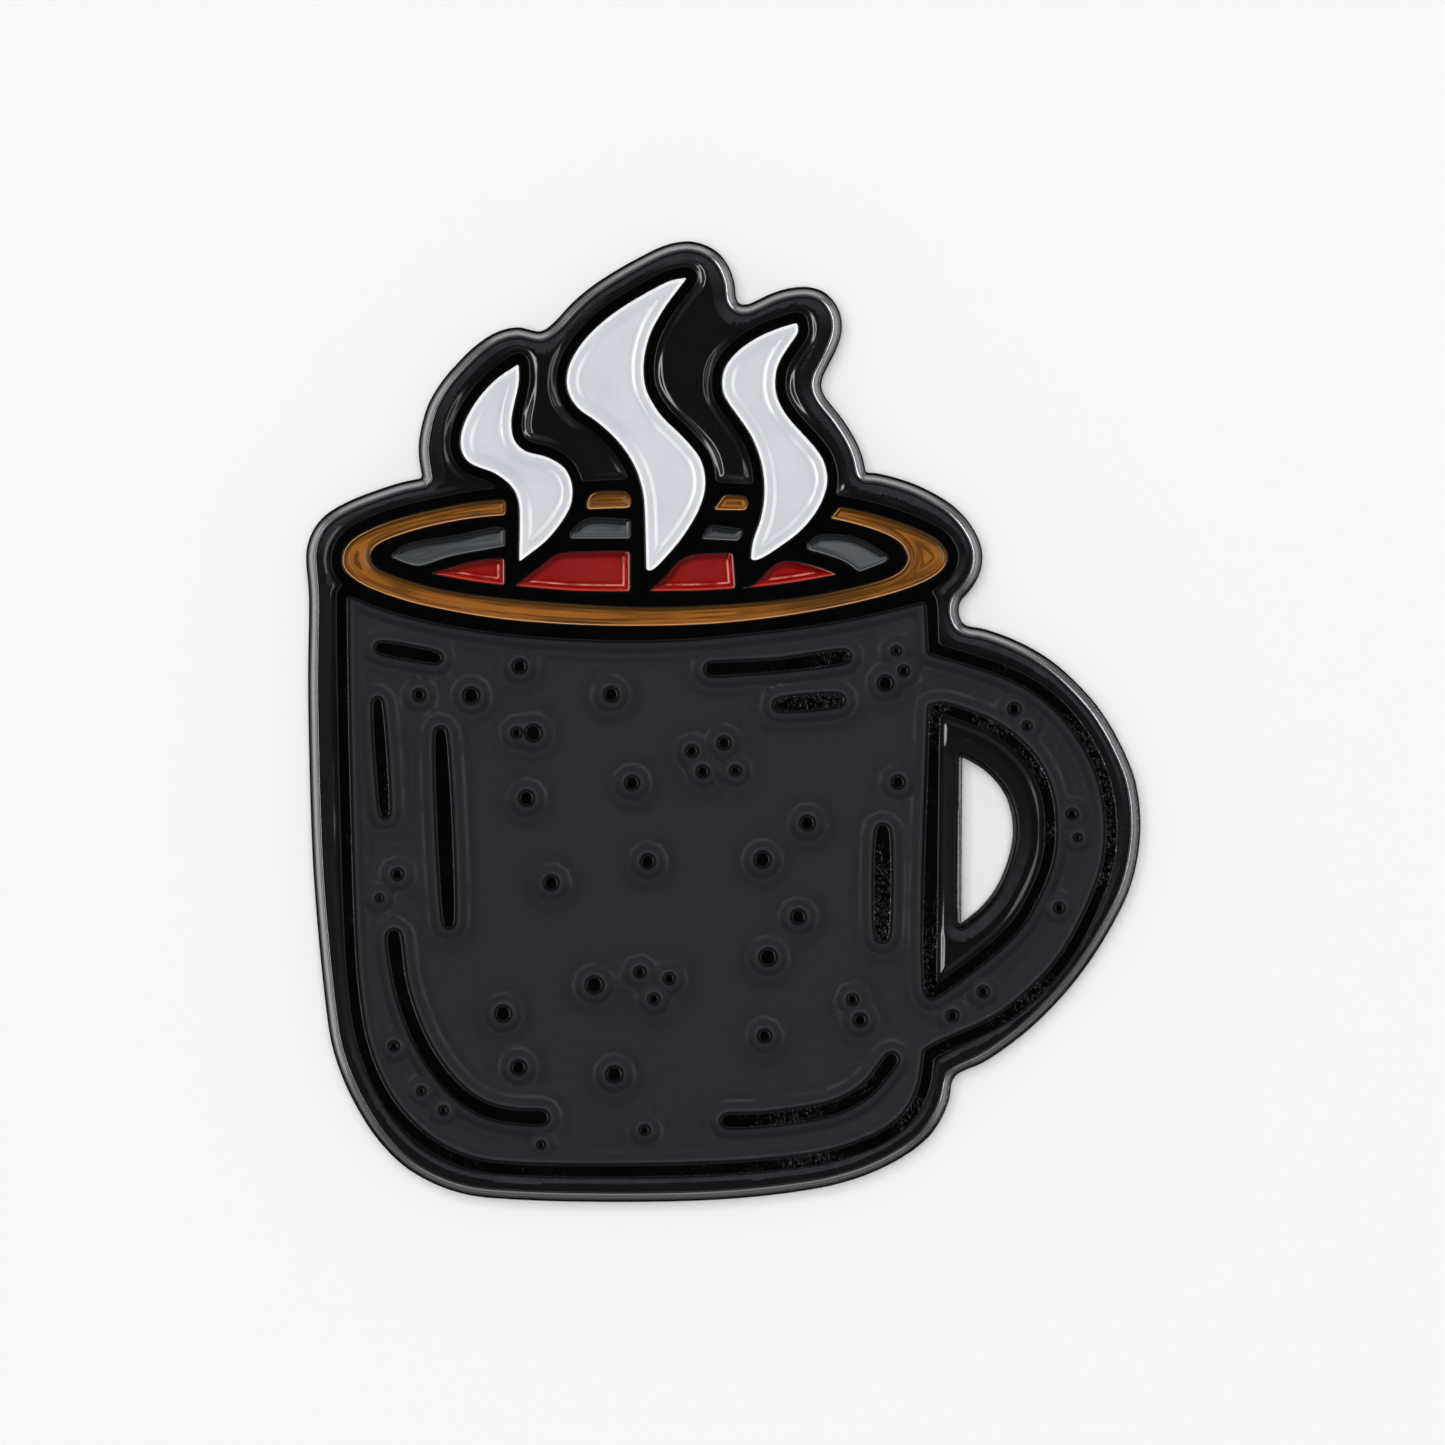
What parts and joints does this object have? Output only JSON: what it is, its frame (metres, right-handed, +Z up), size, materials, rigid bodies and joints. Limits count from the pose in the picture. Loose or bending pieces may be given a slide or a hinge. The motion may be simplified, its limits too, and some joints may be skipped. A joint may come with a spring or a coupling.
{
  "type": "enamel pin",
  "caption": "Soft-enamel lapel pin of a steaming coffee mug: struck black metal plate, colour fills, soldered posts and butterfly clutches on the back.",
  "frame": {"origin": "on the back face of the plate, at the middle of its width and height, where it lies against the cloth", "axes": "+Z up as the pin is worn, -Y out of the enamelled face, +Y along the posts through the cloth, +X to the right seen from the front"},
  "size_m": [0.0329, 0.0095, 0.0379],
  "materials": {
    "black_metal": "black-dyed struck zinc alloy, polished raised lines",
    "black_enamel": "glossy soft enamel",
    "charcoal_enamel": "glossy soft enamel",
    "white_enamel": "glossy soft enamel",
    "amber_enamel": "glossy soft enamel",
    "grey_enamel": "glossy soft enamel",
    "red_enamel": "glossy soft enamel",
    "post_steel": "drawn steel pin",
    "solder": "dull solder",
    "brass": "pressed brass sheet",
    "spring_brass": "pressed spring brass"
  },
  "bodies": {
    "pin": {"base_plate": "black_metal", "border_enamel": "black_enamel", "handle_border_enamel": "black_enamel", "body_enamel": "charcoal_enamel", "steam_enamel_left": "white_enamel", "steam_enamel_middle": "white_enamel", "steam_enamel_right": "white_enamel", "lip_enamel_loop": "amber_enamel", "lip_enamel_left_gap": "amber_enamel", "lip_enamel_middle_gap": "amber_enamel", "inside_wall_enamel_left": "grey_enamel", "inside_wall_enamel_left_gap": "grey_enamel", "inside_wall_enamel_middle_gap": "grey_enamel", "inside_wall_enamel_right": "grey_enamel", "coffee_enamel_left": "red_enamel", "coffee_enamel_left_gap": "red_enamel", "coffee_enamel_middle_gap": "red_enamel", "coffee_enamel_right": "red_enamel", "upper_post": "post_steel", "upper_solder": "solder", "lower_post": "post_steel", "lower_solder": "solder"},
    "upper_clutch": {"upper_clutch_cup": "brass", "upper_clutch_bridge": "brass"},
    "upper_wing_right": {"upper_clutch_wing_right": "spring_brass"},
    "upper_wing_left": {"upper_clutch_wing_left": "spring_brass"},
    "lower_clutch": {"lower_clutch_cup": "brass", "lower_clutch_bridge": "brass"},
    "lower_wing_right": {"lower_clutch_wing_right": "spring_brass"},
    "lower_wing_left": {"lower_clutch_wing_left": "spring_brass"}
  },
  "joints": [
    {"name": "upper_clutch_slide", "type": "slide", "parent": "pin", "child": "upper_clutch", "axis": [0, 1, 0], "range_m": [-0.0007, 0.009]},
    {"name": "upper_wing_right_squeeze", "type": "hinge", "parent": "upper_clutch", "child": "upper_wing_right", "pos_m": [-0.0001, 0.0035, 0.0075], "axis": [0, 0, 1], "range_deg": [0, 18], "stiffness_Nm_per_rad": 0.004, "springref_deg": -8.59},
    {"name": "upper_wing_left_squeeze", "type": "hinge", "parent": "upper_clutch", "child": "upper_wing_left", "pos_m": [-0.0059, 0.0035, 0.0075], "axis": [0, 0, -1], "range_deg": [0, 18], "stiffness_Nm_per_rad": 0.004, "springref_deg": -8.59},
    {"name": "lower_clutch_slide", "type": "slide", "parent": "pin", "child": "lower_clutch", "axis": [0, 1, 0], "range_m": [-0.0007, 0.009]},
    {"name": "lower_wing_right_squeeze", "type": "hinge", "parent": "lower_clutch", "child": "lower_wing_right", "pos_m": [-0.0001, 0.0035, -0.0095], "axis": [0, 0, 1], "range_deg": [0, 18], "stiffness_Nm_per_rad": 0.004, "springref_deg": -8.59},
    {"name": "lower_wing_left_squeeze", "type": "hinge", "parent": "lower_clutch", "child": "lower_wing_left", "pos_m": [-0.0059, 0.0035, -0.0095], "axis": [0, 0, -1], "range_deg": [0, 18], "stiffness_Nm_per_rad": 0.004, "springref_deg": -8.59}
  ],
  "couplings": [
    {"joint": "upper_wing_left_squeeze", "follows": "upper_wing_right_squeeze", "ratio": 1},
    {"joint": "lower_wing_left_squeeze", "follows": "lower_wing_right_squeeze", "ratio": 1}
  ]
}
